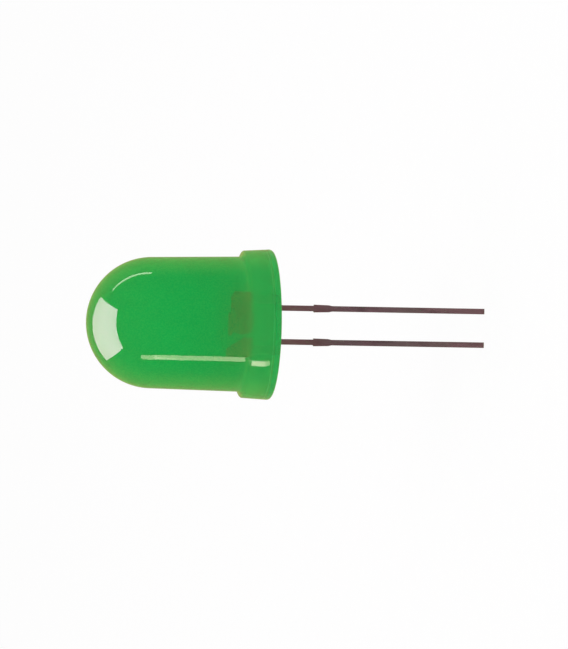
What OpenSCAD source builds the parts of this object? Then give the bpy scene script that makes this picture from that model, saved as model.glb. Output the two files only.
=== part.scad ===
/* [Lens] */
// Height of the moulded lens, from its base face to the tip of the dome
lens_height = 13.9; // [12.5:0.1:16]
// Diameter of the barrel where it leaves the flange
barrel_d = 10.14; // [9.8:0.02:10.4]
// Draft of the barrel, in degrees, that lets the lens out of its mould
barrel_draft = 1.35; // [0.5:0.05:2]

/* [Flange] */
// Thickness of the flange
flange_t = 2.2; // [1.5:0.1:3]
// Step of the flange's front face out from the barrel, before its edge is rounded
flange_step = 0.45; // [0.36:0.01:0.56]
// Spread of the flange's side, from the front face down to the base face
flange_flare_w = 0.14; // [0.05:0.01:0.25]
// Rounding of the edge at the base face
base_edge_r = 0.25; // [0.1:0.05:0.5]
// Rounding of the edge at the front face
front_edge_r = 0.1; // [0.05:0.01:0.2]
// Flat left on the front face, between its rounded edge and the root fillet
root_land = 0.01; // [0.01:0.01:0.1]

/* [Leads] */
// Distance between the centres of the two leads
lead_pitch = 2.54; // [2.5:0.02:2.6]
// Width of a lead, across the lead frame
lead_w = 0.42; // [0.36:0.02:0.5]
// Thickness of the sheet that the lead frame is stamped from
sheet_t = 0.45; // [0.4:0.05:0.5]
// Length of the leads below the base face
lead_length = 16.3; // [10:0.1:30]
// Depth of the tie bar's cut stubs below the base face
stub_depth = 3.27; // [2.5:0.01:5]
// Length of a stub along its lead
stub_len = 1.36; // [1:0.02:2]
// Width across both stubs of one lead, at the end near the base face
stub_w = 0.59; // [0.55:0.01:0.8]
// Width across both stubs where their taper to the lead starts
stub_far_w = 0.53; // [0.52:0.01:0.54]
// Length of the taper at the stubs' far end
stub_taper = 0.26; // [0.1:0.02:0.5]

/* [Anvil and post] */
// Height of the anvil's and the post's lower edges above the base face
frame_base_z = 1.7; // [1.2:0.05:2]
// Height of the anvil's shoulder
anvil_top_z = 3.2; // [3.1:0.05:3.8]
// Height of the anvil's inner corner
anvil_corner_z = 2.35; // [2.2:0.05:2.6]
// Reach of the anvil's inner corner past the lens axis
anvil_reach = 0.52; // [0.4:0.02:0.56]
// Step back of the anvil's inner edge above and below that corner
anvil_back = 0.16; // [0.1:0.02:0.2]
// Bevel at the anvil's outer shoulder
anvil_bevel = 0.3; // [0.1:0.05:0.4]
// Height of the wire pad on top of the post
post_top_z = 3.5; // [3.4:0.05:4]
// Height of the post's foot above its lower edge
post_foot_h = 0.55; // [0.4:0.05:0.7]
// Gap between the anvil's inner corner and the post's foot
frame_gap = 0.16; // [0.14:0.02:0.2]
// Width of the wire pad
pad_w = 0.38; // [0.3:0.02:0.42]
// Step of the anvil and the post past the outer edge of their leads
frame_step = 0.14; // [0.05:0.01:0.2]

/* [Reflector cup] */
// Outer diameter of the cup
cup_d = 1.16; // [1.1:0.02:1.2]
// Height of the cup's rim above the anvil's shoulder
cup_h = 0.2; // [0.15:0.05:0.6]
// Height of the neck that carries the cup's wall, below the shoulder
cup_neck_h = 0.45; // [0.3:0.05:0.6]
// Diameter of the neck at its lower end
cup_neck_d = 0.5; // [0.46:0.02:0.7]
// Depth of the reflector
cup_depth = 0.4; // [0.35:0.05:0.45]
// Thickness of the cup's wall at its rim
cup_rim_w = 0.09; // [0.06:0.01:0.12]
// Diameter of the reflector's floor
cup_floor_d = 0.56; // [0.54:0.02:0.6]

/* [Die and wire] */
// Side of the square die
die_w = 0.3; // [0.24:0.02:0.34]
// Height of the die
die_h = 0.25; // [0.2:0.01:0.28]
// Thickness of the silver glue under the die
glue_t = 0.03; // [0.02:0.01:0.04]
// Diameter of the spot of glue
glue_d = 0.5; // [0.5:0.01:0.54]
// Diameter of the bond wire
wire_d = 0.05; // [0.04:0.01:0.06]
// Diameter of the wire's flattened ends
bond_d = 0.11; // [0.1:0.01:0.13]
// Thickness of the wire's flattened ends
bond_t = 0.07; // [0.06:0.01:0.08]
// Rise of the wire's loop above the line between its ends
loop_rise = 0.45; // [0.4:0.05:0.6]

/* [Hidden] */
$fn = 96;

epoxy_green = [0.14, 0.64, 0.29];
lead_brown = [0.40, 0.31, 0.31];

// The lens: a drafted barrel that runs tangent into a spherical dome
barrel_r = barrel_d / 2;
dome_r = (barrel_r * cos(barrel_draft) - (lens_height - flange_t) * sin(barrel_draft))
    / (1 - sin(barrel_draft));
dome_z = lens_height - dome_r;
shoulder = [dome_r * cos(barrel_draft), dome_z + dome_r * sin(barrel_draft)];

// The fillet at the barrel's root takes the rest of the step
root_fillet = flange_step - front_edge_r - root_land;
fillet_x = barrel_r + root_fillet * (1 / cos(barrel_draft) - tan(barrel_draft));
fillet_z = flange_t + root_fillet;

// The side of the flange, from the base face up to the front face
flange_base_r = barrel_r + flange_step + flange_flare_w;
flange_lean = atan(flange_flare_w / flange_t);

// The lead frame lies in the plane that holds the lens axis and both leads
lead_x = lead_pitch / 2;
frame_edge_x = lead_x + lead_w / 2 + frame_step;
foot_x = anvil_reach + frame_gap;
pad_x = frame_edge_x - pad_w / 2;

// Levels inside the cup
cup_rim_z = anvil_top_z + cup_h;
cup_floor_z = cup_rim_z - cup_depth;
die_z = cup_floor_z + glue_t;
die_top_z = die_z + die_h;

// The wire's loop is one arc between the middles of its two flattened ends
wire_start = [0, die_top_z + bond_t / 2];
wire_end = [-pad_x, post_top_z + bond_t / 2];
wire_span = norm(wire_end - wire_start);
wire_tilt = atan2(wire_start[1] - wire_end[1], wire_start[0] - wire_end[0]);
loop_r = (pow(wire_span / 2, 2) + pow(loop_rise, 2)) / (2 * loop_rise);
loop_half = atan2(wire_span / 2, loop_r - loop_rise);

// A point at a distance and an angle from another point
function polar_point(from, r, angle) = from + r * [cos(angle), sin(angle)];

// Section of the flange: a leaning side, with an arc at each edge
module flange_section() {
    base_arc = [flange_base_r - base_edge_r * (1 + sin(flange_lean)) / cos(flange_lean), base_edge_r];
    front_z = flange_t - front_edge_r;
    front_arc = [flange_base_r - (front_z * sin(flange_lean) + front_edge_r) / cos(flange_lean), front_z];
    polygon([
        [0, 0], [base_arc[0], 0], polar_point(base_arc, base_edge_r, flange_lean),
        polar_point(front_arc, front_edge_r, flange_lean), [front_arc[0], flange_t], [0, flange_t],
    ]);
    translate(base_arc) circle(r = base_edge_r);
    translate(front_arc) circle(r = front_edge_r);
}

// Section of the barrel, with the fillet that carries it out of the flange
module barrel_section() {
    polygon([[0, 0], [barrel_r, 0], [barrel_r, flange_t], shoulder, [0, shoulder[1]]]);
    difference() {
        polygon([
            [0, flange_t], [fillet_x, flange_t], [fillet_x, fillet_z],
            polar_point([fillet_x, fillet_z], root_fillet, 180 + barrel_draft), [0, fillet_z],
        ]);
        translate([fillet_x, fillet_z]) circle(r = root_fillet);
    }
}

// Section of the dome: the half disc that the barrel is tangent to
module dome_section() {
    intersection() {
        translate([0, dome_z]) circle(r = dome_r);
        translate([0, dome_z - dome_r]) square([dome_r, 2 * dome_r]);
    }
}

// Stands an outline drawn in x and z up in the plane of the lead frame
module stamped() {
    rotate([90, 0, 0]) linear_extrude(height = sheet_t, center = true) children();
}

// Outline of one leg below its anvil or post, with the stubs of the tie bar
module leg_outline(x) {
    translate([x - lead_w / 2, -lead_length]) square([lead_w, lead_length + frame_base_z]);
    stub_far = stub_depth + stub_len;
    translate([x, 0]) polygon([
        [-stub_w / 2, -stub_depth], [stub_w / 2, -stub_depth],
        [stub_far_w / 2, stub_taper - stub_far], [lead_w / 2, -stub_far],
        [-lead_w / 2, -stub_far], [-stub_far_w / 2, stub_taper - stub_far],
    ]);
}

// The anvil reaches from its leg over the lens axis to carry the cup
module anvil_outline() {
    polygon([
        [frame_edge_x, frame_base_z], [frame_edge_x, anvil_top_z - anvil_bevel],
        [frame_edge_x - anvil_bevel, anvil_top_z], [anvil_back - anvil_reach, anvil_top_z],
        [-anvil_reach, anvil_corner_z], [anvil_back - anvil_reach, frame_base_z],
    ]);
}

// The post leans away from the anvil, up to its wire pad
module post_outline() {
    polygon([
        [-foot_x, frame_base_z], [-foot_x, frame_base_z + post_foot_h],
        [-frame_edge_x + pad_w, post_top_z], [-frame_edge_x, post_top_z],
        [-frame_edge_x, frame_base_z],
    ]);
}

// The cup's wall, wider than the sheet, with a neck that spreads out of the anvil
module cup_wall() {
    translate([0, 0, anvil_top_z - cup_neck_h]) cylinder(d1 = cup_neck_d, d2 = cup_d, h = cup_neck_h);
    translate([0, 0, anvil_top_z]) cylinder(d = cup_d, h = cup_h);
}

module reflector() {
    translate([0, 0, cup_floor_z])
        cylinder(d1 = cup_floor_d, d2 = cup_d - 2 * cup_rim_w, h = cup_depth);
}

module cathode_shape() {
    difference() {
        union() {
            stamped() leg_outline(lead_x);
            stamped() anvil_outline();
            cup_wall();
        }
        reflector();
    }
}

module anode_shape() {
    stamped() leg_outline(-lead_x);
    stamped() post_outline();
}

module glue_shape() {
    translate([0, 0, cup_floor_z]) cylinder(d = glue_d, h = glue_t);
}

module die_shape() {
    translate([-die_w / 2, -die_w / 2, die_z]) cube([die_w, die_w, die_h]);
}

module wire_shape() {
    middle = (wire_start + wire_end) / 2;
    hub = middle - (loop_r - loop_rise) * [-sin(wire_tilt), cos(wire_tilt)];
    translate([hub[0], 0, hub[1]])
        rotate([90, 0, 0])
            rotate([0, 0, 90 + wire_tilt - loop_half])
                rotate_extrude(angle = 2 * loop_half) translate([loop_r, 0]) circle(d = wire_d);
    for (bond = [[wire_start[0], die_top_z], [wire_end[0], post_top_z]])
        translate([bond[0], 0, bond[1]]) cylinder(d = bond_d, h = bond_t);
}

// The epoxy is cast round the lead frame, the die and the wire
module lens_body() {
    color(epoxy_green) difference() {
        rotate_extrude() {
            flange_section();
            barrel_section();
            dome_section();
        }
        cathode_shape();
        anode_shape();
        glue_shape();
        die_shape();
        wire_shape();
    }
}

module cathode_lead() { color(lead_brown) cathode_shape(); }
module anode_lead() { color(lead_brown) anode_shape(); }
module led_die() { color("khaki") die_shape(); }
module die_attach() { color("silver") glue_shape(); }
module bond_wire() { color("gold") wire_shape(); }

lens_body();
cathode_lead();
anode_lead();
led_die();
die_attach();
bond_wire();
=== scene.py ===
import math

import bmesh
import bpy
from mathutils import Matrix, Vector


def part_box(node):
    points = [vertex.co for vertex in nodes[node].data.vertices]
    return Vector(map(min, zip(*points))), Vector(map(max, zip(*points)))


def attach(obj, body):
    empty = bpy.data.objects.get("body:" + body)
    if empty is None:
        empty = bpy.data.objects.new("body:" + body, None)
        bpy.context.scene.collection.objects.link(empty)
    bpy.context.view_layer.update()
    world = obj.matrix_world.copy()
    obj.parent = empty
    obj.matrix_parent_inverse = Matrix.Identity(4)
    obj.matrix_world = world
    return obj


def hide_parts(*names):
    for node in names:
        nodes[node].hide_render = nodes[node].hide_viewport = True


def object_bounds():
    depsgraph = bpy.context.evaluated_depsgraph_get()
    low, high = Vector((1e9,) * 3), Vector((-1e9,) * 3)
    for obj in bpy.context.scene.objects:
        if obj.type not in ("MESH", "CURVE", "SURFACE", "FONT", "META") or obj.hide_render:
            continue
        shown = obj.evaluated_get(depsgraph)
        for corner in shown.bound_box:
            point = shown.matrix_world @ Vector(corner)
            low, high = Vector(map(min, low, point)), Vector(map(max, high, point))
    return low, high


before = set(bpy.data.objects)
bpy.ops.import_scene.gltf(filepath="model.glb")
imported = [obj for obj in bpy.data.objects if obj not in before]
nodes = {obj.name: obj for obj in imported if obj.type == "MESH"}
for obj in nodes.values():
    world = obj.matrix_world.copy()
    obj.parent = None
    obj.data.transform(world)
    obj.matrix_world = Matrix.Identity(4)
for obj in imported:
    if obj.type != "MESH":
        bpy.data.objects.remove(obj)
cadLow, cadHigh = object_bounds()
scene = bpy.context.scene
print("frame loaded:", len(nodes), "nodes")

mm = 0.001
weld = 0.0005 * mm    # vertices closer than this become one
hair = 0.001 * mm     # a vertex this close to a ring lies on it
quarterTurn = math.pi / 2
white = (1, 1, 1, 1)
black = (0, 0, 0, 1)


# a socket in a small wrapper, so that shader maths reads as plain expressions
class Wire:
    def __init__(self, tree, socket):
        self.tree = tree
        self.socket = socket

    def out(self, name):
        return Wire(self.tree, self.socket.node.outputs[name])

    def calculate(self, operation, first, second):
        return self.tree.add("ShaderNodeMath", {"operation": operation}, {0: first, 1: second})

    def __add__(self, other):
        return self.calculate("ADD", self, other)

    def __sub__(self, other):
        return self.calculate("SUBTRACT", self, other)

    def __rsub__(self, other):
        return self.calculate("SUBTRACT", other, self)

    def __mul__(self, other):
        return self.calculate("MULTIPLY", self, other)

    __radd__ = __add__
    __rmul__ = __mul__

    # an eased step from 0 to 1 between two values
    def ramp(self, low, high):
        ends = {"Value": self, "From Min": low, "From Max": high}
        return self.tree.add("ShaderNodeMapRange", {"interpolation_type": "SMOOTHSTEP"}, ends)


class Tree:
    def __init__(self, nodeTree):
        self.nodeTree = nodeTree
        nodeTree.nodes.clear()

    # adds any node: its settings first, then the values or links of its sockets
    def add(self, kind, settings=None, sockets=None):
        node = self.nodeTree.nodes.new(kind)
        for name, value in (settings or {}).items():
            setattr(node, name, value)
        for key, value in (sockets or {}).items():
            if isinstance(value, Wire):
                self.nodeTree.links.new(value.socket, node.inputs[key])
            else:
                node.inputs[key].default_value = value
        return Wire(self, next((socket for socket in node.outputs if socket.enabled), None))

    def vector(self, operation, first, second):
        return self.add("ShaderNodeVectorMath", {"operation": operation}, {0: first, 1: second})

    def dot(self, first, second):
        return self.vector("DOT_PRODUCT", first, second).out("Value")

    def position(self):
        return self.add("ShaderNodeTexCoord").out("Object")

    def height(self):
        return self.add("ShaderNodeSeparateXYZ", None, {0: self.position()}).out("Z")

    # a noise whose pattern is drawn out by the scale of each axis, in waves per metre
    def noise(self, scale, detail):
        stretched = self.vector("MULTIPLY", self.position(), scale)
        return self.add("ShaderNodeTexNoise", None, {"Vector": stretched, "Scale": 1.0, "Detail": detail})

    # mixes two colours: the node has its colour sockets at 6 and 7, and the mixed colour at 2
    def mix(self, factor, first, second):
        sockets = {"Factor": factor, 6: first, 7: second}
        return self.add("ShaderNodeMix", {"data_type": "RGBA"}, sockets).out(2)

    def bump(self, height, distance):
        return self.add("ShaderNodeBump", None, {"Height": height, "Distance": distance})

    def principled(self, sockets):
        return self.add("ShaderNodeBsdfPrincipled", None, sockets)

    def finish(self, surface, volume=None, kind="Material"):
        sockets = {"Surface": surface}
        if volume:
            sockets["Volume"] = volume
        self.add("ShaderNodeOutput" + kind, None, sockets)


def newMaterial(name):
    material = bpy.data.materials.new(name)
    material.use_nodes = True
    return material, Tree(material.node_tree)


def newObject(name, data):
    thing = bpy.data.objects.new(name, data)
    scene.collection.objects.link(thing)
    return thing


def newPiece(name, bm, material, replaced, normals=None):
    for face in bm.faces:
        face.smooth = True
    mesh = bpy.data.meshes.new(name)
    bm.to_mesh(mesh)
    bm.free()
    piece = newObject(name, mesh)
    mesh.materials.append(material)
    if normals:
        mesh.normals_split_custom_set_from_vertices(normals)
    else:
        # keeps flat faces flat beside their rounded edges
        flats = piece.modifiers.new("flats", "WEIGHTED_NORMAL")
        flats.mode = "FACE_AREA_WITH_ANGLE"
        flats.keep_sharp = True
    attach(piece, "root")
    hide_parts(replaced)
    print(name, "made:", len(mesh.polygons), "faces")


def roundEdges(bm, edges, offset, steps):
    bmesh.ops.bevel(
        bm, geom=edges, offset=offset, offset_type="OFFSET",
        affect="EDGES", segments=steps, profile=0.5, material=-1,
    )


# the lens: flange, drafted barrel and dome, cast in one piece

lens = {
    "barrelRadius": 5.07 * mm,
    "draft": math.radians(1.35),
    "flangeHeight": 2.2 * mm,
    "flangeBase": 5.654 * mm,    # the flange's radius at the base face and at its front face
    "flangeFront": 5.52 * mm,
    "baseEdge": 0.25 * mm,       # the radii that its edges are rounded with
    "frontEdge": 0.1 * mm,
    "rootFillet": 0.34 * mm,
    "turns": 192,
    "domeSteps": 48,
    "edgeSteps": 7,
    "softRoot": 0.9,             # how far the root's normals lean outward, as in a washed-out fillet
    "rootLean": 0.15,            # and how far down
    "inside": 0.9,               # the share of a rounded edge that holds its inner vertices
    # levels on the flange's side, and how far down the normals lean there
    "crown": {1.16 * mm: 0.0, 0.43 * mm: 0.14, 0.27 * mm: 0.34},
}


def ringEdges(bm, radius, z):
    def onRing(vert):
        return abs(vert.co.xy.length - radius) < hair and abs(vert.co.z - z) < hair
    return [edge for edge in bm.edges if all(onRing(vert) for vert in edge.verts)]


# rounds a circular edge to a radius, where the two faces meet at an angle
def roundRing(bm, ring, radius, angle, steps):
    roundEdges(bm, ring, radius / math.tan(angle / 2), steps)


# an outline from the tip to the centre of the base is turned round the axis, then its edges are rounded
def lensMesh(part, height):
    draft = part["draft"]
    base, front, top = part["flangeBase"], part["flangeFront"], part["flangeHeight"]
    lean = math.atan((base - front) / top)
    rise = height - top
    # the radius at which the dome runs into the drafted barrel without a corner
    domeRadius = (part["barrelRadius"] * math.cos(draft) - rise * math.sin(draft)) / (1 - math.sin(draft))
    bm = bmesh.new()
    tip = bm.verts.new((0, 0, height))
    dome = bmesh.ops.spin(
        bm, geom=[tip], axis=(0, 1, 0), cent=(0, 0, height - domeRadius),
        angle=quarterTurn - draft, steps=part["domeSteps"],
    )
    last = dome["geom_last"][0]
    levels = list(part["crown"])[:-1]    # the lowest one is where the rounded base edge starts by itself
    side = [(base - z * math.tan(lean), z) for z in levels]
    for x, z in [(part["barrelRadius"], top), (front, top), *side, (base, 0), (0, 0)]:
        corner = bm.verts.new((x, 0, z))
        bm.edges.new((last, corner))
        last = corner
    bmesh.ops.spin(
        bm, geom=bm.verts[:] + bm.edges[:], axis=(0, 0, 1), cent=(0, 0, 0),
        angle=math.tau, steps=part["turns"], use_merge=True,
    )
    bmesh.ops.remove_doubles(bm, verts=bm.verts, dist=weld)
    bmesh.ops.recalc_face_normals(bm, faces=bm.faces)
    steps = part["edgeSteps"]
    roundRing(bm, ringEdges(bm, base, 0), part["baseEdge"], quarterTurn - lean, steps)
    roundRing(bm, ringEdges(bm, front, top), part["frontEdge"], quarterTurn + lean, steps)
    roundRing(bm, ringEdges(bm, part["barrelRadius"], top), part["rootFillet"], quarterTurn + draft, steps)
    bm.normal_update()
    return bm


# a normal for each vertex: faces count by area, so cones and flat faces stay straight beside their edges
def lensNormals(bm, part):
    normals = []
    top, inside, crown = part["flangeHeight"], part["inside"], part["crown"]
    for vert in bm.verts:
        z = vert.co.z
        normal = sum((face.normal * face.calc_area() for face in vert.link_faces), Vector()).normalized()
        if top - inside * part["frontEdge"] < z < top + inside * part["rootFillet"]:
            outward = Vector((vert.co.x, vert.co.y, 0)).normalized()
            softened = outward - Vector((0, 0, part["rootLean"]))
            normal = normal.lerp(softened, part["softRoot"]).normalized()
        elif inside * part["baseEdge"] < z < inside * top:
            nearest = min(crown, key=lambda level: abs(level - z))
            normal = (normal - Vector((0, 0, crown[nearest]))).normalized()
        normals.append(normal)
    return normals


# a level is a pair of heights above the base face, between which one tint gives way to the next
epoxy = {
    "tint": (0.24, 0.472, 0.073, 1),
    "tintSpeck": (0.35, 0.505, 0.079, 1),
    "flangeTint": (0.58, 0.595, 0.101, 1),    # yellower round the frame, at the open end of the mould
    "flangeLevel": (1.9 * mm, 3.3 * mm),
    "rimTint": (0.14, 0.63, 0.125, 1),        # greener at the rim
    "rimLevel": (0.42 * mm, 0.50 * mm),
    "lineTint": (0.95, 0.75, 0.20, 1),        # the fine line that the mould's edge leaves round the flange
    "lineHeight": 0.60 * mm,
    "lineHalf": 0.05 * mm,
    "absorb": (410, 2, 4),                    # per metre, red, green and blue
    "scatter": 400,                           # per metre
    "forward": 0.6,                           # how much of that light keeps going forward
    "index": 1.5,
    "roughness": 0.03,
    "speck": ((9000, 9000, 9000), 2.0),       # the noises: waves per metre along each axis, and detail
    "speckRange": (0.35, 0.65),
    "smear": ((500, 500, 250), 3.0),
    "smearRange": (0.4, 0.7),
    "smearRoughness": 0.02,
    "wave": ((350, 350, 250), 1.0),
    "waveHeight": 0.002 * mm,
}


def epoxyMaterial(part):
    material, tree = newMaterial("greenEpoxy")
    speck = tree.noise(*part["speck"]).ramp(*part["speckRange"])
    smear = tree.noise(*part["smear"]).ramp(*part["smearRange"])
    wave = tree.noise(*part["wave"])
    height = tree.height()
    line, half = part["lineHeight"], part["lineHalf"]
    nearLine = height.ramp(line - half, line) * (1 - height.ramp(line, line + half))
    tint = tree.mix(speck, part["tint"], part["tintSpeck"])
    tint = tree.mix(height.ramp(*part["flangeLevel"]), part["flangeTint"], tint)
    tint = tree.mix(height.ramp(*part["rimLevel"]), part["rimTint"], tint)
    tint = tree.mix(nearLine, tint, part["lineTint"])
    surface = tree.principled({
        "Base Color": tint,
        "Roughness": part["roughness"] + smear * part["smearRoughness"],
        "IOR": part["index"],
        "Transmission Weight": 1.0,
        "Normal": tree.bump(wave, part["waveHeight"]),
    })
    scatter = tree.add("ShaderNodeVolumeScatter", None, {
        "Color": white, "Density": part["scatter"], "Anisotropy": part["forward"]})
    most = max(part["absorb"])
    absorb = tree.add("ShaderNodeVolumeAbsorption", None, {
        "Color": [1 - amount / most for amount in part["absorb"]] + [1], "Density": most})
    tree.finish(surface, tree.add("ShaderNodeAddShader", None, {0: scatter, 1: absorb}))
    return material


lensShape = lensMesh(lens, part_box("lens_body")[1].z)
newPiece("lens", lensShape, epoxyMaterial(epoxy), "lens_body", lensNormals(lensShape, lens))

# the two leads, stamped from one sheet

leads = {
    "purple": (0.285, 0.155, 0.22, 1),
    "grey": (0.24, 0.16, 0.20, 1),
    "stain": (0.125, 0.07, 0.095, 1),
    "stainMost": 0.7,
    "paintedLightNearLens": (0.52, 0.21, 0.26, 1),        # lighter and redder next to the lens: painted light against the lens's shadow and green cast
    "paintedLightNearLensMost": 0.55,
    "paintedLightNearLensLevel": (-6.5 * mm, -0.5 * mm),
    "cut": (0.45, 0.36, 0.31, 1),          # bare metal where the tips were sheared
    "cutLevel": (0.02 * mm, 0.05 * mm),    # above the tips' ends, the other levels above the base face
    "silver": (0.90, 0.85, 0.80, 1),       # the plating, kept bright inside the epoxy
    "silverLevel": (-0.1 * mm, 0.3 * mm),
    "fired": (0.75, 0.09, 0.07, 1),        # anvil and post, browned by the heat of bonding
    "paintedGlow": (1, 0.01, 0.03, 1),          # a painted red glow, light the plates don't give off, so that their brown shows through the green
    # how strong the painted glow is
    "glow": 1.5,
    "plateLevel": (1.5 * mm, 1.9 * mm),
    "drift": ((60, 60, 160), 2.0),         # the noises: waves per metre along each axis, and detail
    "driftRange": (0.4, 0.6),
    "cloud": ((1400, 1400, 450), 4.0),
    "cloudRange": (0.45, 0.75),
    "grain": ((9000, 9000, 700), 3.0),
    "grainHeight": 0.004 * mm,
    "metallic": 0.7,
    "roughness": 0.42,
    "wear": 0.16,                          # how much the clouds change the roughness
    "flatAngle": math.radians(0.5),        # faces that meet at less than this become one
    "sharpAngle": math.radians(60),
    "edgeRound": 0.035 * mm,
    "edgeSteps": 3,
}


def leadMaterial(part):
    material, tree = newMaterial("tarnishedLead")
    drift = tree.noise(*part["drift"])
    cloud = tree.noise(*part["cloud"])
    grain = tree.noise(*part["grain"])
    height = tree.height()
    stained = cloud.ramp(*part["cloudRange"]) * part["stainMost"]
    # painted light on the leads next to the lens, against the shade and green light the lens throws on
    # them
    paintedLightNearLens = height.ramp(*part["paintedLightNearLensLevel"]) * part["paintedLightNearLensMost"]
    aboveCut = height.ramp(*[cadLow.z + level for level in part["cutLevel"]])
    onPlates = height.ramp(*part["plateLevel"])
    skin = tree.mix(drift.ramp(*part["driftRange"]), part["purple"], part["grey"])
    skin = tree.mix(stained, skin, part["stain"])
    # lays the painted light next to the lens over the tarnish
    skin = tree.mix(paintedLightNearLens, skin, part["paintedLightNearLens"])
    skin = tree.mix(aboveCut, part["cut"], skin)
    skin = tree.mix(height.ramp(*part["silverLevel"]), skin, part["silver"])
    tree.finish(tree.principled({
        "Base Color": tree.mix(onPlates, skin, part["fired"]),
        # the anvil and post get a painted red glow, though they are no lamp
        "Emission Color": tree.mix(onPlates, black, part["paintedGlow"]),
        "Emission Strength": part["glow"],
        "Metallic": part["metallic"],
        "Roughness": part["roughness"] + (cloud - 0.5) * part["wear"],
        "Normal": tree.bump(grain, part["grainHeight"]),
    }))
    return material


# the solid's own mesh, with its sharp edges rounded below the lens and kept sharp inside it
def stampedMesh(nodeName, part):
    bm = bmesh.new()
    bm.from_mesh(nodes[nodeName].data)
    bmesh.ops.remove_doubles(bm, verts=bm.verts, dist=weld)
    bmesh.ops.dissolve_limit(
        bm, angle_limit=part["flatAngle"], use_dissolve_boundaries=False,
        verts=bm.verts, edges=bm.edges,
    )
    folds = [edge for edge in bm.edges if edge.is_manifold]
    sharp = [edge for edge in folds if edge.calc_face_angle() > part["sharpAngle"]]
    for edge in sharp:
        edge.smooth = max(vert.co.z for vert in edge.verts) < 0
    roundEdges(bm, [edge for edge in sharp if edge.smooth], part["edgeRound"], part["edgeSteps"])
    return bm


leadMetal = leadMaterial(leads)
for nodeName in ("cathode_lead", "anode_lead"):
    newPiece(nodeName + "_frame", stampedMesh(nodeName, leads), leadMetal, nodeName)

# the die, its glue and the bond wire keep their own shapes and get better materials

smallParts = {
    "led_die": {"first": (0.30, 0.36, 0.16, 1), "second": (0.40, 0.46, 0.22, 1), "scale": 9000,
                "metallic": 0.3, "roughness": 0.25},
    "die_attach": {"first": (0.50, 0.50, 0.48, 1), "second": (0.80, 0.79, 0.76, 1), "scale": 40000,
                   "metallic": 0.8, "roughness": 0.5},
    "bond_wire": {"first": (0.85, 0.58, 0.22, 1), "second": (0.95, 0.70, 0.32, 1), "scale": 20000,
                  "metallic": 1.0, "roughness": 0.2},
}
flecks = {"detail": 3.0, "range": (0.4, 0.6), "roughness": 0.1}


def smallMaterial(name, part):
    material, tree = newMaterial(name + "_finish")
    fleck = tree.noise((part["scale"],) * 3, flecks["detail"])
    tree.finish(tree.principled({
        "Base Color": tree.mix(fleck.ramp(*flecks["range"]), part["first"], part["second"]),
        "Metallic": part["metallic"],
        "Roughness": part["roughness"] + fleck * flecks["roughness"],
    }))
    return material


for name, part in smallParts.items():
    nodes[name].material_slots[0].material = smallMaterial(name, part)
print("small parts finished:", len(smallParts))

# the studio: the camera first, because the lights are placed from where it looks

photo = {
    "pixelsPerMm": 13.33,
    "width": 568,
    "height": 649,
    "baseCentre": (270.6, 324.7),    # the centre of the base face, in pixels
    "elevation": math.radians(9),
    "roll": math.radians(1.0),
    "lens": 250,                     # in mm, as the sensor's longer side
    "sensor": 36,
    "clip": (0.01, 50),              # how near and how far the camera sees, in metres
}


def makeCamera(part):
    tilt, roll = part["elevation"], part["roll"]
    back = Vector((0, -math.cos(tilt), math.sin(tilt)))
    along = Vector((0, -math.sin(tilt), -math.cos(tilt)))    # the way the leads run in the picture
    across = Vector((1, 0, 0))
    right = along * math.cos(roll) + across * math.sin(roll)
    up = across * math.cos(roll) - along * math.sin(roll)
    scale = mm / part["pixelsPerMm"]
    offX = (part["width"] / 2 - part["baseCentre"][0]) * scale
    offY = (part["height"] / 2 - part["baseCentre"][1]) * scale
    away = part["height"] * scale * part["lens"] / part["sensor"]
    data = bpy.data.cameras.new("camera")
    data.lens = part["lens"]
    data.sensor_width = part["sensor"]
    data.clip_start, data.clip_end = part["clip"]
    camera = newObject("camera", data)
    turn = Matrix((right, up, back)).transposed()
    camera.matrix_world = Matrix.Translation(right * offX - up * offY + back * away) @ turn.to_4x4()
    scene.camera = camera
    return turn


view = makeCamera(photo)
lensMiddle = Vector((0, 0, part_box("lens_body")[1].z / 2))

# cards that only show as highlights: their centres, from the lens's middle, and their sides go right, up
# and toward the camera, in shares of one distance in metres
cardDistance = 0.6
fadeLength = 0.75    # the share of a card's tall side over which it fades
cards = {
    "softbox": {"centre": (-1.17, -0.16, -0.11), "wide": (-0.27, 1.47, 0.13), "tall": (-0.06, -0.06, 1.44),
                "strength": 12, "fade": 0.42, "colour": (1, 0.66, 0.84)},
    "strip": {"centre": (-0.012, -0.864, 0.43), "wide": (0.5, 0, 0.013), "tall": (0, 0.062, 0.132),
              "strength": 6.2, "fade": 1, "colour": (1, 0.80, 0.62)},
    "stripEnd": {"centre": (0.105, -0.862, 0.435), "wide": (0.06, 0, 0), "tall": (0, 0.072, 0.150),
                 "strength": 4.4, "fade": 1, "colour": (1, 0.72, 0.72)},
    "slit": {"centre": (-0.63, 1.0, -0.185), "wide": (1.23, 0, 0.13), "tall": (0.006, 0, 0.078),
             "strength": 6.1, "fade": 1, "colour": (1, 0.9, 0.8)},
}

# a soft key from above and in front, in metres, that only lights the leads and the floor
keyLight = {"centre": (0.1, -0.5, 0.6), "wide": (0.4, 0, 0), "tall": (0, 0.3, 0.25),
            "strength": 4, "colour": (1, 1, 1)}


# a lamp with its centre measured from the lens's middle: it shines along its -Z, so its +Z points away
def makeLamp(name, centre, wide, tall, strength, colour):
    data = bpy.data.lights.new(name, "AREA")
    data.shape = "RECTANGLE"
    data.size = wide.length
    data.size_y = tall.length
    data.color = colour
    data.energy = strength * wide.length * tall.length * math.pi    # a strength of 1 looks white
    lamp = newObject(name, data)
    sideways = wide.normalized()
    facing = sideways.cross(tall).normalized()
    if facing.dot(centre) < 0:
        facing = -facing
    turn = Matrix((sideways, facing.cross(sideways), facing)).transposed()
    lamp.matrix_world = Matrix.Translation(centre + lensMiddle) @ turn.to_4x4()
    lamp.visible_camera = False
    lamp.visible_transmission = False
    lamp.visible_volume_scatter = False
    return lamp


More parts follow.
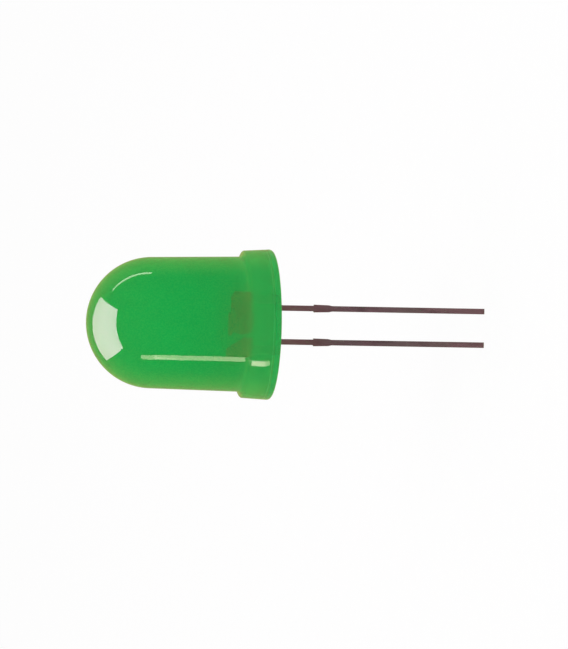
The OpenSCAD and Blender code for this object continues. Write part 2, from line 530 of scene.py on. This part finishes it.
# lets a card fade along its tall side, from its start up to full strength
def fadeCard(lamp, centre, tall, fade):
    lamp.data.use_nodes = True
    tree = Tree(lamp.data.node_tree)
    upward = tall.normalized()
    along = tree.dot(tree.add("ShaderNodeNewGeometry").out("Position"), upward)
    start = (centre + lensMiddle).dot(upward) - tall.length / 2
    glow = fade + along.ramp(start, start + fadeLength * tall.length) * (1 - fade)
    tree.finish(tree.add("ShaderNodeEmission", None, {"Strength": glow}), kind="Light")


places = ("centre", "wide", "tall")
for name, card in cards.items():
    centre, wide, tall = [view @ Vector(card[value]) * cardDistance for value in places]
    lamp = makeLamp(name, centre, wide, tall, card["strength"], card["colour"])
    lamp.visible_diffuse = False
    fadeCard(lamp, centre, tall, card["fade"])

centre, wide, tall = [Vector(keyLight[value]) for value in places]
key = makeLamp("key", centre, wide, tall, keyLight["strength"], keyLight["colour"])
key.visible_glossy = False

surroundings = {
    "light": 0.7,                          # the strength as light: where looked at or mirrored it is 1
    "frontGlow": (0.15, 0.15, 0.15, 1),    # what glossy surfaces mirror, from in front and from behind
    "backGlow": (0.5, 0.5, 0.17, 1),
    "glowRange": (-0.5, 0.1),              # from back to front: 1 is straight toward the camera
}


# how much a ray sees the studio as plain white, and how much it is a mirrored one
def rayParts(tree):
    path = tree.add("ShaderNodeLightPath")
    refracted = path.out("Is Transmission Ray")
    mirrored = path.out("Is Glossy Ray") * (1 - refracted)
    return path.out("Is Camera Ray") + refracted + mirrored, mirrored


def makeWorld(part, toCamera):
    world = bpy.data.worlds.new("studio")
    world.use_nodes = True
    tree = Tree(world.node_tree)
    seen, mirrored = rayParts(tree)
    toward = tree.dot(tree.add("ShaderNodeTexCoord").out("Generated"), toCamera)
    glow = tree.mix(toward.ramp(*part["glowRange"]), part["backGlow"], part["frontGlow"])
    tree.finish(tree.add("ShaderNodeBackground", None, {
        "Color": tree.mix(mirrored, white, glow),
        "Strength": part["light"] + (1 - part["light"]) * seen,
    }), kind="World")
    return world


scene.world = makeWorld(surroundings, view.col[2])

# the floor: white where it is only looked at, with a faint shadow of the part laid over it
paper = {
    "darker": (0.93, 0.93, 0.93, 1),
    "lighter": (0.97, 0.97, 0.97, 1),
    "fibre": ((700, 700, 700), 4.0),
    "fibreRange": (0.3, 0.7),
    "roughness": 0.9,
    "shade": 0.08,                      # how much of the shaded paper shows through the white
    "mirrored": (0.4, 0.4, 0.13, 1),    # what glossy surfaces mirror of it
    "size": (0.18, 0.9),
    "ahead": 0.045,                     # how far it comes forward of the part's axis
}


def paperMaterial(part):
    material, tree = newMaterial("palePaper")
    fibre = tree.noise(*part["fibre"])
    shaded = tree.principled({
        "Base Color": tree.mix(fibre.ramp(*part["fibreRange"]), part["darker"], part["lighter"]),
        "Roughness": part["roughness"],
    })
    seen, mirrored = rayParts(tree)
    glow = tree.mix(mirrored, white, part["mirrored"])
    plain = tree.add("ShaderNodeEmission", None, {"Color": glow})
    share = seen * (1 - part["shade"])
    tree.finish(tree.add("ShaderNodeMixShader", None, {0: share, 1: shaded, 2: plain}))
    return material


def makeFloor(part, level):
    right = part["size"][0] / 2
    near = -part["ahead"]
    far = near + part["size"][1]
    corners = [(-right, near, level), (right, near, level), (right, far, level), (-right, far, level)]
    mesh = bpy.data.meshes.new("floor")
    mesh.from_pydata(corners, [], [(0, 1, 2, 3)])
    mesh.materials.append(paperMaterial(part))
    return newObject("floor", mesh)


floor = makeFloor(paper, cadLow.z)
print("studio made:", len(cards), "cards, a key and a floor")

scene.view_settings.view_transform = "Standard"
scene.cycles.max_bounces = 48    # light scatters many times inside the epoxy before it leaves it
scene.cycles.transmission_bounces = 32
scene.cycles.volume_bounces = 32
